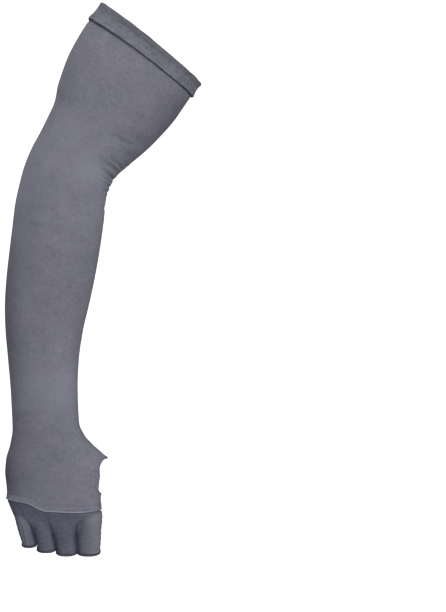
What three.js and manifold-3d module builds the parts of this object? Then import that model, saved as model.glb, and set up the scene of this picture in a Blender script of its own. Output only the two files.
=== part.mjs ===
// Knitted arm sleeve with a folded cuff, a thumb opening and four open finger stalls.
// Millimetres, +Z up. The origin is the centre of the top rim, where the arm goes in.
// The sleeve keeps its worn form: bent at the elbow, with the back of the hand towards -Y.
import * as THREE from 'three'
import Module from 'manifold-3d'
import { mergeVertices } from 'three/addons/utils/BufferGeometryUtils.js'

const wasm = await Module()
wasm.setup()

// Outer widths (left to right) and depths (front to back) of the sleeve
const cuffWidth = 125.5
const cuffDepth = 98
const elbowWidth = 87.3
const elbowDepth = 85
const forearmWidth = 89.8
const forearmDepth = 84
const wristWidth = 66.4
const wristDepth = 49
const palmWidth = 94
const palmDepth = 31

// Lengths along the middle line: rim to elbow, elbow to wrist, wrist to knuckle hem
const upperArmLength = 171.5
const forearmLength = 222
const handLength = 95.2

// Cloth and the clearance between pieces
const wall = 1.2
const gap = 0.3

// Folded cuff band at the top, which laps over the end of the tube and dips a little in front.
// Its lower lip tilts down on the inside of the elbow.
const cuffHeight = 18.6
const cuffLap = 7.7
const cuffProud = 1.8
const cuffWaist = 1
const cuffDip = 1.3
const cuffTilt = 1.5

// Hem over the knuckles: it drops towards the index finger, sags over the back of the hand and
// rides up over the little finger
const hemHeight = 6.4
const hemProud = 1.2
const hemLap = 2.5
const hemTilt = 5.5
const hemSag = 5.6
const hemPalmSag = 1.5
const hemRise = 5

// Thumb opening: a rounded slot through the thumb side, with a narrow hem round it
const thumbHeight = 35
const thumbDepth = 24
const thumbBack = 3
const thumbHemWidth = 2.2
const thumbHemProud = 0.6
const thumbLobe = 14

// Finger section: tucked into the knuckle hem, bent a little towards the palm
const tuck = 5
const fingerFlex = 18
const webLength = 25
const stallHemHeight = 2.4
const stallHemProud = 0.3

// Widths and depths of the finger stalls at their ends, and lengths from the knuckle line
const littleWidth = 13.9
const littleDepth = 15
const littleLength = 39
const ringWidth = 17.4
const ringDepth = 17.5
const ringLength = 44
const middleWidth = 19
const middleDepth = 18.5
const middleLength = 47.5
const indexWidth = 21.8
const indexDepth = 19
const indexLength = 47.5

// Facets round the arm and round a finger
const sides = 30
const fingerSides = 16

const elbowAt = upperArmLength
const wristAt = upperArmLength + forearmLength
const hemAt = wristAt + handLength
const upper = (share) => share * upperArmLength
const fore = (share) => elbowAt + share * forearmLength
const hand = (share) => wristAt + share * handLength

// Cross-sections down the arm. lean: tilt of the middle line to the left, in degrees.
// back: offset towards the palm side.
const toPalm = (share) => share * elbowDepth
const sections = [
  { at: upper(0), lean: 39, width: cuffWidth, depth: cuffDepth, back: 0 },
  { at: upper(0.1), lean: 35.5, width: 1.01 * cuffWidth, depth: cuffDepth, back: toPalm(0.005) },
  { at: upper(0.273), lean: 31, width: 0.996 * cuffWidth, depth: 1.02 * cuffDepth, back: toPalm(0.015) },
  { at: upper(0.471), lean: 31, width: 0.904 * cuffWidth, depth: cuffDepth, back: toPalm(0.025) },
  { at: upper(0.646), lean: 36.6, width: 1.094 * elbowWidth, depth: 1.094 * elbowDepth, back: toPalm(0.02) },
  { at: upper(0.809), lean: 29.5, width: 0.994 * elbowWidth, depth: 1.024 * elbowDepth, back: toPalm(0.005) },
  { at: fore(0), lean: 13, width: elbowWidth, depth: elbowDepth, back: toPalm(-0.015) },
  { at: fore(0.117), lean: 6.8, width: forearmWidth, depth: forearmDepth, back: toPalm(-0.02) },
  { at: fore(0.231), lean: 8, width: 0.994 * forearmWidth, depth: 0.988 * forearmDepth, back: toPalm(-0.02) },
  { at: fore(0.367), lean: 9, width: 0.978 * forearmWidth, depth: 0.952 * forearmDepth, back: toPalm(-0.01) },
  { at: fore(0.504), lean: 8.1, width: 0.935 * forearmWidth, depth: 0.905 * forearmDepth, back: 0 },
  { at: fore(0.64), lean: 3.1, width: 0.86 * forearmWidth, depth: 0.833 * forearmDepth, back: toPalm(0.015) },
  { at: fore(0.775), lean: -0.2, width: 1.062 * wristWidth, depth: 1.265 * wristDepth, back: toPalm(0.03) },
  { at: fore(0.91), lean: -2, width: 1.008 * wristWidth, depth: 1.102 * wristDepth, back: toPalm(0.04) },
  { at: hand(0), lean: -2.5, width: wristWidth, depth: wristDepth, back: toPalm(0.045) },
  { at: hand(0.159), lean: -3.5, width: 1.006 * wristWidth, depth: 0.918 * wristDepth, back: toPalm(0.05) },
  { at: hand(0.317), lean: -6.7, width: 0.797 * palmWidth, depth: 1.323 * palmDepth, back: toPalm(0.055) },
  { at: hand(0.446), lean: -9, width: 0.925 * palmWidth, depth: 1.24 * palmDepth, back: toPalm(0.055) },
  { at: hand(0.638), lean: -8, width: 0.995 * palmWidth, depth: 1.16 * palmDepth, back: toPalm(0.05) },
  { at: hand(0.848), lean: -3.5, width: 0.995 * palmWidth, depth: 1.065 * palmDepth, back: toPalm(0.04) },
  { at: hand(1.037), lean: -1, width: palmWidth, depth: palmDepth, back: toPalm(0.03) },
  { at: hand(1.33), lean: 0, width: 0.99 * palmWidth, depth: 0.9 * palmDepth, back: toPalm(0.02) },
]

// Shape of the section: 2 is an ellipse, more is squarer, as over the flat of the hand
const cornerRows = [
  { at: upper(0), square: 2 },
  { at: fore(0.504), square: 2 },
  { at: fore(0.64), square: 2.05 },
  { at: fore(0.775), square: 2.1 },
  { at: fore(0.91), square: 2.15 },
  { at: hand(0), square: 2.2 },
  { at: hand(0.159), square: 2.25 },
  { at: hand(0.317), square: 2.3 },
  { at: hand(0.446), square: 2.4 },
  { at: hand(0.638), square: 2.45 },
  { at: hand(0.848), square: 2.5 },
  { at: hand(1.037), square: 2.5 },
  { at: hand(1.33), square: 2.5 },
]

// How far the root of the thumb pushes the cloth out, down the hand
const lobeRows = [
  { at: hand(0.17), reach: 0 },
  { at: hand(0.32), reach: 0.03 * thumbLobe },
  { at: hand(0.383), reach: 0.035 * thumbLobe },
  { at: hand(0.436), reach: 0.08 * thumbLobe },
  { at: hand(0.488), reach: 0.28 * thumbLobe },
  { at: hand(0.53), reach: 0.46 * thumbLobe },
  { at: hand(0.583), reach: 0.7 * thumbLobe },
  { at: hand(0.646), reach: thumbLobe },
  { at: hand(0.72), reach: 0.985 * thumbLobe },
  { at: hand(0.804), reach: 0.57 * thumbLobe },
  { at: hand(0.877), reach: 0.06 * thumbLobe },
  { at: hand(0.951), reach: 0 },
]
const lobeBreadth = 0.4 * palmDepth

// Creases in the cloth. angle: degrees round the section, 0 on the right, 270 in front.
// length: half-breadth down the arm. spread: half-breadth round it, in degrees.
const creases = [
  { at: upper(0.53), angle: 322, depth: 0.5 * wall, length: 0.034 * upperArmLength, spread: 24 },
  { at: upper(0.66), angle: 345, depth: 0.45 * wall, length: 0.02 * upperArmLength, spread: 22 },
  { at: upper(0.715), angle: 336, depth: 0.75 * wall, length: 0.018 * upperArmLength, spread: 22 },
  { at: upper(0.785), angle: 347, depth: 0.95 * wall, length: 0.019 * upperArmLength, spread: 30 },
  { at: upper(0.868), angle: 352, depth: 0.75 * wall, length: 0.017 * upperArmLength, spread: 24 },
  { at: upper(0.933), angle: 354, depth: 0.65 * wall, length: 0.018 * upperArmLength, spread: 22 },
  { at: fore(0.052), angle: 356, depth: 0.45 * wall, length: 0.015 * forearmLength, spread: 20 },
  { at: hand(0.03), angle: 235, depth: 0.5 * wall, length: 0.035 * handLength, spread: 28 },
]

// Rows of the mesh down the tube: closer together at the elbow crease and the thumb
const meshRows = [
  { to: cuffHeight, steps: 1 },
  { to: upper(0.66), steps: 6 },
  { to: upper(1), steps: 12 },
  { to: fore(0.12), steps: 5 },
  { to: fore(0.95), steps: 12 },
  { to: hand(0.25), steps: 4 },
  { to: hand(0.94), steps: 11 },
]

// The four stalls. root, knuckle, web and end: places across the palm as shares of its half-width.
// rootWide and webWide: width at the knuckle and the web as shares of the width at the end.
const fingers = [
  {
    name: 'little', root: -0.72, knuckle: -0.675, web: -0.607, end: -0.558, rootWide: 1.06, webWide: 1.08,
    width: littleWidth, depth: littleDepth, length: littleLength,
  },
  {
    name: 'ring', root: -0.36, knuckle: -0.312, web: -0.232, end: -0.178, rootWide: 1.1, webWide: 1.04,
    width: ringWidth, depth: ringDepth, length: ringLength,
  },
  {
    name: 'middle', root: 0.185, knuckle: 0.2, web: 0.216, end: 0.243, rootWide: 1.46, webWide: 1.15,
    width: middleWidth, depth: middleDepth, length: middleLength,
  },
  {
    name: 'index', root: 0.765, knuckle: 0.765, web: 0.735, end: 0.733, rootWide: 1.12, webWide: 1.13,
    width: indexWidth, depth: indexDepth, length: indexLength,
  },
]

const radians = (degrees) => degrees * Math.PI / 180

// Smooth curve through the rows of a table, without overshoot between them
function follow(rows, column, at) {
  const last = rows.length - 1
  const q = Math.min(Math.max(at, rows[0].at), rows[last].at)
  let i = 0
  while (i < last - 1 && q > rows[i + 1].at) i += 1
  const slope = (k) => (rows[k + 1][column] - rows[k][column]) / (rows[k + 1].at - rows[k].at)
  const tangent = (k) => {
    if (k === 0) return slope(0)
    if (k === last) return slope(last - 1)
    const before = slope(k - 1)
    const after = slope(k)
    if (before * after <= 0) return 0
    const h0 = rows[k].at - rows[k - 1].at
    const h1 = rows[k + 1].at - rows[k].at
    const w0 = 2 * h1 + h0
    const w1 = h1 + 2 * h0
    return (w0 + w1) / (w0 / before + w1 / after)
  }
  const h = rows[i + 1].at - rows[i].at
  const t = (q - rows[i].at) / h
  return (2 * t ** 3 - 3 * t ** 2 + 1) * rows[i][column] + (t ** 3 - 2 * t ** 2 + t) * h * tangent(i)
    + (3 * t ** 2 - 2 * t ** 3) * rows[i + 1][column] + (t ** 3 - t ** 2) * h * tangent(i + 1)
}

// The middle line of the arm, added up in short straight steps along its lean
const spineStep = 0.5
const spine = [{ x: 0, z: 0 }]
for (let at = 0; at < hand(1.4); at += spineStep) {
  const lean = radians(follow(sections, 'lean', at + spineStep / 2))
  const previous = spine[spine.length - 1]
  spine.push({ x: previous.x - Math.sin(lean) * spineStep, z: previous.z - Math.cos(lean) * spineStep })
}

function middle(at) {
  const place = Math.min(Math.max(at / spineStep, 0), spine.length - 1.001)
  const i = Math.floor(place)
  const t = place - i
  const x = spine[i].x + (spine[i + 1].x - spine[i].x) * t
  const z = spine[i].z + (spine[i + 1].z - spine[i].z) * t
  return { x, y: follow(sections, 'back', at), z }
}

const signedPower = (value, power) => Math.sign(value) * Math.abs(value) ** power

// Depth of the creases at one place of the cloth
function creaseDepth(at, angle) {
  let sum = 0
  for (const crease of creases) {
    const away = Math.atan2(Math.sin(angle - radians(crease.angle)), Math.cos(angle - radians(crease.angle)))
    const round = away / radians(crease.spread)
    const along = (at - crease.at) / crease.length
    sum += crease.depth * Math.exp(-round * round - along * along)
  }
  return sum
}

// One point of the sleeve's outer surface, before its creases
function smoothSkin(at, angle) {
  const lean = radians(follow(sections, 'lean', at))
  const power = 2 / follow(cornerRows, 'square', at)
  const across = signedPower(Math.cos(angle), power)
  const y = 0.5 * follow(sections, 'depth', at) * signedPower(Math.sin(angle), power)
  let u = 0.5 * follow(sections, 'width', at) * across
  const side = Math.max(across, 0)
  const fade = side * side * (3 - 2 * side)
  u += follow(lobeRows, 'reach', at) * Math.exp(-(((y - thumbBack) / lobeBreadth) ** 2)) * fade
  const centre = middle(at)
  return new THREE.Vector3(centre.x + u * Math.cos(lean), centre.y + y, centre.z - u * Math.sin(lean))
}

// A point of the cloth: distance down the arm, angle round it, and lift off the outer surface
function skin(at, angle, lift = 0) {
  const point = smoothSkin(at, angle)
  const down = smoothSkin(at + 1, angle).sub(smoothSkin(at - 1, angle))
  const round = smoothSkin(at, angle + 0.03).sub(smoothSkin(at, angle - 0.03))
  const normal = round.cross(down).normalize().negate()
  const away = point.clone().sub(new THREE.Vector3().copy(middle(at)))
  if (normal.dot(away) < 0) normal.negate()
  return point.addScaledVector(normal, lift - creaseDepth(at, angle))
}

// How far the knuckle hem hangs below a level ring, and how the rows above it take that up.
// The rows by the cuff follow its dip and the tilt of its lower lip.
function hemDrop(angle) {
  const { smoothstep } = THREE.MathUtils
  const sag = Math.sin(angle) < 0 ? hemSag : hemPalmSag
  const little = Math.max(-Math.cos(angle), 0)
  const back = smoothstep(-Math.sin(angle), -0.8, 0)
  const rise = smoothstep(little, 0.08, 0.48) - 0.38 * smoothstep(little, 0.5, 1)
  return hemTilt * Math.cos(angle) + sag * Math.sin(angle) ** 2 - hemRise * back * rise
}

function dropped(at, angle) {
  const share = THREE.MathUtils.smoothstep(at, hand(0.6), hemAt - hemHeight)
  const level = at / cuffHeight
  const dip = Math.max(1 - level, 0) * cuffDip * Math.max(-Math.sin(angle), 0)
  const nearLip = THREE.MathUtils.smoothstep(level, 0.15, 1) * (1 - THREE.MathUtils.smoothstep(level, 1, 4))
  return at + share * hemDrop(angle) + dip + nearLip * cuffTilt * Math.cos(angle)
}

const angleOf = (j, count) => (j / count) * 2 * Math.PI

function ring(count, place) {
  return Array.from({ length: count }, (_, j) => place(angleOf(j, count)))
}

function clothRing(at, lift) {
  return ring(sides, (angle) => skin(dropped(at, angle), angle, lift))
}

// Mesh from rings of points: closed on itself like a hoop, or capped at both ends
function meshOfRings(rings, hoop) {
  const count = rings[0].length
  const position = []
  for (const points of rings) {
    for (const p of points) position.push(p.x, p.y, p.z)
  }
  const index = []
  const spans = hoop ? rings.length : rings.length - 1
  for (let i = 0; i < spans; i += 1) {
    const a = i * count
    const b = ((i + 1) % rings.length) * count
    for (let j = 0; j < count; j += 1) {
      const k = (j + 1) % count
      index.push(a + j, b + j, b + k, a + j, b + k, a + k)
    }
  }
  if (!hoop) {
    const far = (rings.length - 1) * count
    for (let j = 1; j < count - 1; j += 1) {
      index.push(0, j, j + 1)
      index.push(far, far + j + 1, far + j)
    }
  }
  const geometry = new THREE.BufferGeometry()
  geometry.setAttribute('position', new THREE.Float32BufferAttribute(position, 3))
  geometry.setIndex(index)
  return outward(geometry)
}

// Turns every face outward when the rings ran the other way
function outward(geometry) {
  const p = geometry.getAttribute('position')
  const index = geometry.getIndex().array
  const a = new THREE.Vector3()
  const b = new THREE.Vector3()
  const c = new THREE.Vector3()
  let volume = 0
  for (let i = 0; i < index.length; i += 3) {
    a.fromBufferAttribute(p, index[i])
    b.fromBufferAttribute(p, index[i + 1])
    c.fromBufferAttribute(p, index[i + 2])
    volume += a.dot(b.cross(c))
  }
  if (volume < 0) {
    for (let i = 0; i < index.length; i += 3) [index[i + 1], index[i + 2]] = [index[i + 2], index[i + 1]]
  }
  return geometry
}

function toSolid(geometry) {
  const bare = geometry.clone()
  bare.deleteAttribute('normal')
  bare.deleteAttribute('uv')
  const merged = mergeVertices(bare, 1e-4)
  const vertProperties = new Float32Array(merged.getAttribute('position').array)
  const triVerts = new Uint32Array(merged.getIndex().array)
  return new wasm.Manifold(new wasm.Mesh({ numProp: 3, vertProperties, triVerts }))
}

function toGeometry(solid) {
  const mesh = solid.getMesh()
  const geometry = new THREE.BufferGeometry()
  geometry.setAttribute('position', new THREE.Float32BufferAttribute(mesh.vertProperties, 3))
  geometry.setIndex(Array.from(mesh.triVerts))
  return geometry
}

const hoopOf = (profile) => meshOfRings(profile.map(([at, lift]) => clothRing(at, lift)), true)

// Cutter through the thumb side, wider all round by grow. cornerPower under 1 squares its ends.
const thumbLevel = hand(0.695)
const thumbStart = 0.32 * palmWidth
const thumbSides = 28
const cornerPower = 0.6

function thumbCutter(grow) {
  const centre = middle(thumbLevel)
  const near = centre.x + thumbStart - grow
  const rings = [near, near + palmWidth].map((x) => ring(thumbSides, (angle) => {
    const y = centre.y + thumbBack + (thumbDepth / 2 + grow) * signedPower(Math.cos(angle), cornerPower)
    const z = centre.z + (thumbHeight / 2 + grow) * signedPower(Math.sin(angle), cornerPower)
    return new THREE.Vector3(x, y, z)
  }))
  return toSolid(meshOfRings(rings, false))
}

// The long tube from under the cuff to the knuckle hem, with the thumb opening
function sleeveTube() {
  const start = cuffHeight - cuffLap + gap
  const places = [start]
  let from = start
  for (const row of meshRows) {
    for (let i = 1; i <= row.steps; i += 1) places.push(from + (row.to - from) * i / row.steps)
    from = row.to
  }
  places.push(hemAt - hemHeight + hemLap - gap)
  const outer = places.map((at) => [at, 0])
  const inner = places.map((at) => [at, -wall]).reverse()
  const tube = toSolid(hoopOf([...outer, ...inner]))
  return toGeometry(tube.subtract(thumbCutter(thumbHemWidth + gap)))
}

// Folded band round the top rim, open below to take the end of the tube
function cuffBand() {
  const step = cuffHeight - cuffLap
  return hoopOf([
    [0, 0.7 * cuffProud],
    [0.05 * cuffHeight, cuffProud],
    [0.45 * cuffHeight, cuffWaist],
    [0.9 * cuffHeight, cuffProud],
    [cuffHeight, 0.8 * cuffProud],
    [cuffHeight, gap],
    [step, gap],
    [step, -wall],
    [0.05 * cuffHeight, -wall],
    [0, -0.5 * wall],
  ])
}

// Stitched hem across the knuckles, which laps over the end of the tube
function knuckleHem() {
  const top = hemAt - hemHeight
  return hoopOf([
    [top, 0.8 * hemProud],
    [top + 0.15 * hemHeight, hemProud],
    [hemAt - 0.15 * hemHeight, hemProud],
    [hemAt, 0.7 * hemProud],
    [hemAt, -wall],
    [top + hemLap, -wall],
    [top + hemLap, gap],
    [top, gap],
  ])
}

// Narrow hem round the thumb opening
function thumbHem() {
  const from = hand(0.35)
  const to = hand(0.94)
  const steps = 8
  const places = Array.from({ length: steps + 1 }, (_, i) => from + (to - from) * i / steps)
  const outer = places.map((at) => [at, thumbHemProud])
  const inner = places.map((at) => [at, -wall]).reverse()
  const shell = toSolid(hoopOf([...outer, ...inner]))
  return toGeometry(shell.intersect(thumbCutter(thumbHemWidth)).subtract(thumbCutter(0)))
}

const knuckle = middle(hand(1.036))
const flex = radians(fingerFlex)
const bendRadius = webLength / flex

// The fingers bend evenly from the knuckle line to the webs, and run straight below them
function bendAt(down) {
  const angle = Math.min(Math.max(down / bendRadius, 0), flex)
  const rest = down - angle * bendRadius
  const back = bendRadius * (1 - Math.cos(angle)) + rest * Math.sin(angle)
  const below = bendRadius * Math.sin(angle) + rest * Math.cos(angle)
  return { y: knuckle.y + back, z: knuckle.z - below, angle }
}

// Middle and half-sizes of a stall at a distance below the knuckle line
function stallAt(finger, down) {
  const half = palmWidth / 2
  const rows = [
    { at: -0.2 * webLength, x: 0.95 * finger.root * half, width: 0.5 * finger.rootWide, depth: 0.5 },
    { at: 0.12 * webLength, x: 0.98 * finger.root * half, width: 0.8 * finger.rootWide, depth: 0.9 },
    { at: 0.42 * webLength, x: finger.knuckle * half, width: finger.rootWide, depth: 1.32 },
    { at: webLength, x: finger.web * half, width: finger.webWide, depth: 1.12 },
    { at: finger.length, x: finger.end * half, width: 1, depth: 1 },
    { at: 1.2 * finger.length, x: finger.end * half, width: 1, depth: 1 },
  ]
  return {
    ...bendAt(down),
    x: knuckle.x + follow(rows, 'x', down),
    halfWidth: follow(rows, 'width', down) * finger.width / 2,
    halfDepth: follow(rows, 'depth', down) * finger.depth / 2,
  }
}

function stallRing(finger, down, lift) {
  const place = stallAt(finger, down)
  return ring(fingerSides, (angle) => {
    const u = (place.halfWidth + lift) * Math.cos(angle)
    const v = (place.halfDepth + lift) * Math.sin(angle)
    const y = place.y + v * Math.cos(place.angle)
    return new THREE.Vector3(place.x + u, y, place.z + v * Math.sin(place.angle))
  })
}

function stall(finger, lift, past) {
  const places = [-0.2, 0.12, 0.42, 0.72, 1].map((share) => share * webLength)
  places.push(finger.length - stallHemHeight - gap + past)
  return toSolid(meshOfRings(places.map((down) => stallRing(finger, down, lift)), false))
}

// Rings of the part over the knuckles, from inside the hem down to the webs
const rootRows = [
  { down: 0.44 * webLength, left: -0.83, right: 1.025, depth: 0.76 },
  { down: 0.75 * webLength, left: -0.77, right: 1.01, depth: 0.6 },
  { down: webLength, left: -0.735, right: 0.99, depth: 0.45 },
]

function rootBody(lift, above) {
  const inset = -(wall + gap)
  const rings = [
    clothRing(hemAt - tuck - above, inset + lift),
    clothRing(hemAt + 1.2 * gap, inset + lift),
    clothRing(hemAt + 6 * gap, lift - 0.5 * gap),
  ]
  for (const row of rootRows) {
    const half = palmWidth / 2
    const centre = knuckle.x + half * (row.left + row.right) / 2
    const halfWidth = half * (row.right - row.left) / 2 + lift
    const halfDepth = row.depth * palmDepth / 2 + lift
    const bend = bendAt(row.down + (row === rootRows[rootRows.length - 1] ? lift : 0))
    rings.push(ring(sides, (angle) => {
      const u = halfWidth * signedPower(Math.cos(angle), 0.8)
      const v = halfDepth * signedPower(Math.sin(angle), 0.8)
      const y = bend.y + v * Math.cos(bend.angle)
      return new THREE.Vector3(centre + u, y, bend.z + v * Math.sin(bend.angle))
    }))
  }
  return toSolid(meshOfRings(rings, false))
}

// Four stalls and the cloth that joins them, hollowed by the same shapes one wall smaller
function fingerSection() {
  let body = rootBody(0, 0)
  let hollow = rootBody(-wall, 2)
  for (const finger of fingers) {
    body = body.add(stall(finger, 0, 0))
    hollow = hollow.add(stall(finger, -wall, 4))
  }
  return toGeometry(body.subtract(hollow))
}

// Rolled hem at the open end of one stall
function stallHem(finger) {
  const top = finger.length - stallHemHeight
  return meshOfRings([
    stallRing(finger, top, stallHemProud),
    stallRing(finger, finger.length, stallHemProud),
    stallRing(finger, finger.length, -wall),
    stallRing(finger, top, -wall),
  ], true)
}

const knit = (color, roughness = 0.9) => new THREE.MeshStandardMaterial({ color, roughness, metalness: 0 })

const sleeve = new THREE.Group()

function addPiece(name, geometry, material) {
  const mesh = new THREE.Mesh(geometry, material)
  mesh.name = name
  sleeve.add(mesh)
}

addPiece('sleeve_tube', sleeveTube(), knit('#73737f'))
addPiece('cuff_band', cuffBand(), knit('#6c6c76'))
addPiece('knuckle_hem', knuckleHem(), knit('#6f7080'))
addPiece('thumb_hem', thumbHem(), knit('#6b6b78'))
addPiece('finger_section', fingerSection(), knit('#5c5c6c'))
for (const finger of fingers) addPiece(`${finger.name}_hem`, stallHem(finger), knit('#50505e'))

export default sleeve
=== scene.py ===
"""Knitted arm sleeve in its worn form: bent at the elbow, the back of the hand to the front.

Sizes are in millimetres, and a mesh is scaled to metres when it is made. The origin is the centre
of the top rim, +Z is up, +X points to the thumb and -Y to the back of the hand.
"""
import logging
import math
from dataclasses import dataclass, field
from enum import Enum

import bmesh
import bpy
import numpy as np
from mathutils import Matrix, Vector
from mathutils.kdtree import KDTree


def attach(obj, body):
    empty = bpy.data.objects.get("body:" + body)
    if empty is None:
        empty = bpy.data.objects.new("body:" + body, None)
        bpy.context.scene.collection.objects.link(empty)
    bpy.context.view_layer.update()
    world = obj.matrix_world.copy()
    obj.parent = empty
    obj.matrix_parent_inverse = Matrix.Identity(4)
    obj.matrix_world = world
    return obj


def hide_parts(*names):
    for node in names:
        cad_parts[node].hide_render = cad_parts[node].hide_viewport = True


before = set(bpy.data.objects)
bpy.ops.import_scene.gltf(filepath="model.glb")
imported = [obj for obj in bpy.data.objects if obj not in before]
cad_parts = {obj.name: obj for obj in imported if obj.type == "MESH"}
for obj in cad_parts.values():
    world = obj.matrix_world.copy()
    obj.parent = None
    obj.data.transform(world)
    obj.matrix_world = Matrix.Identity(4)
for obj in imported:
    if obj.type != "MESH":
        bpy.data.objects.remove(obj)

log = logging.getLogger("arm_sleeve")

Array = np.ndarray
Numbers = Array | float
Piece = bpy.types.Object
Material = bpy.types.Material
Socket = bpy.types.NodeSocket

MM = 0.001
TURN = 2 * math.pi
CLOTH_MAP = "cloth"
# Edges of a band, and of a stitch, that turn by more degrees than this stay crisp
BAND_CRISP, STITCH_CRISP = 60.0, 80.0
# A stitch's rings, from one end to the other, and the points of each
STITCH_ROWS, STITCH_SIDES = (-1.0, -0.86, -0.45, 0.0, 0.45, 0.86, 1.0), 6


# Tables of the worn form

@dataclass(frozen=True)
class Section:
    """A cross-section of the arm: place, lean in degrees, width, depth, offset, squareness."""

    at: float
    lean: float
    width: float
    depth: float
    back: float
    square: float


@dataclass(frozen=True)
class Crease:
    """A fold in the cloth: place, angle, depth, half-length, half-spread, slant a radian."""

    at: float
    angle: float
    depth: float
    length: float
    spread: float
    slant: float = 0.0


@dataclass(frozen=True)
class PaintedPatch:
    """Painted light, or painted shade below zero: place, angle, amount, half-length, half-spread.
    """

    at: float
    angle: float
    amount: float
    length: float
    spread: float


@dataclass(frozen=True)
class Finger:
    """A finger stall: places across the palm as shares of its half-width, and sizes at its end."""

    name: str
    root: float
    knuckle: float
    web: float
    end: float
    root_wide: float
    web_wide: float
    width: float
    depth: float
    length: float


@dataclass(frozen=True)
class Stitch:
    """A stitch: from one to the next, its length and its thread's thickness."""

    pitch: float
    length: float
    thick: float


SECTIONS = (
    Section(0.0, 39.0, 125.5, 98.0, 0.00, 2.00),
    Section(17.2, 35.5, 126.8, 98.0, 0.42, 2.00),
    Section(46.8, 31.0, 125.0, 100.0, 1.27, 2.00),
    Section(80.8, 31.0, 113.5, 98.0, 2.12, 2.00),
    Section(110.8, 36.6, 95.5, 93.0, 1.70, 2.00),
    Section(138.7, 29.5, 86.8, 87.0, 0.42, 2.00),
    Section(171.5, 13.0, 87.3, 85.0, -1.27, 2.00),
    Section(197.5, 6.8, 89.8, 84.0, -1.70, 2.00),
    Section(222.8, 8.0, 89.3, 83.0, -1.70, 2.00),
    Section(253.0, 9.0, 87.8, 80.0, -0.85, 2.00),
    Section(283.4, 8.1, 84.0, 76.0, 0.00, 2.00),
    Section(313.6, 3.1, 77.2, 70.0, 1.27, 2.05),
    Section(343.6, -0.2, 70.5, 62.0, 2.55, 2.10),
    Section(373.5, -2.0, 66.9, 54.0, 3.40, 2.15),
    Section(393.5, -2.5, 66.4, 49.0, 3.82, 2.20),
    Section(408.6, -3.5, 66.8, 45.0, 4.25, 2.25),
    Section(423.7, -6.7, 74.9, 41.0, 4.67, 2.30),
    Section(436.0, -9.0, 87.0, 38.4, 4.67, 2.40),
    Section(454.2, -8.0, 93.5, 36.0, 4.25, 2.45),
    Section(474.2, -3.5, 93.5, 33.0, 3.40, 2.50),
    Section(492.2, -1.0, 94.0, 31.0, 2.55, 2.50),
    Section(520.1, 0.0, 93.1, 27.9, 1.70, 2.50),
)

# Place down the hand, and how far the root of the thumb pushes the cloth out
THUMB_LOBE = (
    (409.7, 0.0), (424.0, 0.42), (430.0, 0.49), (435.0, 1.12), (440.0, 3.92), (444.0, 6.44),
    (449.0, 9.8), (455.0, 14.0), (462.0, 13.79), (470.0, 7.98), (477.0, 0.84), (484.0, 0.0),
)

CREASES = (
    # Folds on the upper arm that slant down into the crook of the elbow
    Crease(91.0, 322, 0.55, 5.5, 26, -13), Crease(98.0, 309, 0.8, 1.9, 16, -7),
    Crease(103.0, 326, 0.5, 4.2, 20, 4),
    Crease(113.5, 349, 0.5, 1.9, 18, 3), Crease(119.0, 337, 0.75, 2.1, 19, 2),
    Crease(125.5, 333, 0.95, 2.3, 20, 1), Crease(130.0, 346, 0.4, 1.7, 16, 2),
    # The crook itself, where the folds are short and deep
    Crease(136.5, 346, 1.45, 2.5, 25, 2), Crease(142.8, 341, 0.85, 2.0, 21, 1),
    Crease(149.5, 351, 1.0, 2.2, 20, 2), Crease(160.2, 354, 0.8, 2.6, 17, 1),
    Crease(167.5, 356, 0.5, 1.9, 15, 0), Crease(183.0, 357, 0.6, 2.8, 15, -2),
    # Soft drags on the forearm, and the wrist
    Crease(176.0, 318, 0.22, 2.8, 22, 2), Crease(196.0, 306, 0.18, 2.4, 20, -3),
    Crease(212.0, 252, 0.22, 3.0, 24), Crease(236.0, 292, 0.2, 3.4, 26),
    Crease(268.0, 260, 0.2, 4.0, 30), Crease(396.5, 238, 0.5, 2.8, 26, -3),
    Crease(402.0, 214, 0.3, 2.4, 18, 2),
)

# Patches of painted light and painted shade on the sleeve's cloth
PAINTED_PATCHES = (
    # Painted shade under the upper arm, and painted light over the elbow on both sides
    PaintedPatch(50.0, 345, -0.24, 32, 34), PaintedPatch(118.0, 262, 0.1, 26, 55),
    PaintedPatch(143.0, 312, 0.22, 16, 34), PaintedPatch(178.0, 185, 0.3, 34, 48),
    PaintedPatch(185.0, 352, 0.2, 26, 36), PaintedPatch(226.0, 215, 0.12, 24, 26),
    # Painted light and shade on the forearm and the wrist
    PaintedPatch(262.0, 295, -0.06, 40, 40), PaintedPatch(288.0, 190, -0.3, 54, 26),
    PaintedPatch(285.0, 242, 0.1, 34, 26),
    PaintedPatch(370.0, 270, 0.15, 29, 120), PaintedPatch(372.0, 340, 0.08, 46, 36),
    # Painted shade on the edge of the hand under the little finger
    PaintedPatch(455.0, 195, -0.45, 44, 48),
)

FINGERS = (
    Finger("little", -0.72, -0.675, -0.607, -0.558, 1.06, 1.08, 13.9, 15.0, 39.0),
    Finger("ring", -0.36, -0.312, -0.232, -0.178, 1.1, 1.04, 17.4, 17.5, 44.0),
    Finger("middle", 0.185, 0.2, 0.216, 0.243, 1.46, 1.15, 19.0, 18.5, 47.5),
    Finger("index", 0.765, 0.765, 0.735, 0.733, 1.12, 1.13, 21.8, 19.0, 47.5),
)


# Smooth curves and the form of the arm

def ease(t: Numbers, first: Array, leaving: Array, last: Array, arriving: Array) -> Array:
    """Goes from the first value to the last along a curve with a given slope at each end."""
    start = (2 * t**3 - 3 * t**2 + 1) * first + (t**3 - 2 * t**2 + t) * leaving
    return start + (3 * t**2 - 2 * t**3) * last + (t**3 - t**2) * arriving


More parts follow.
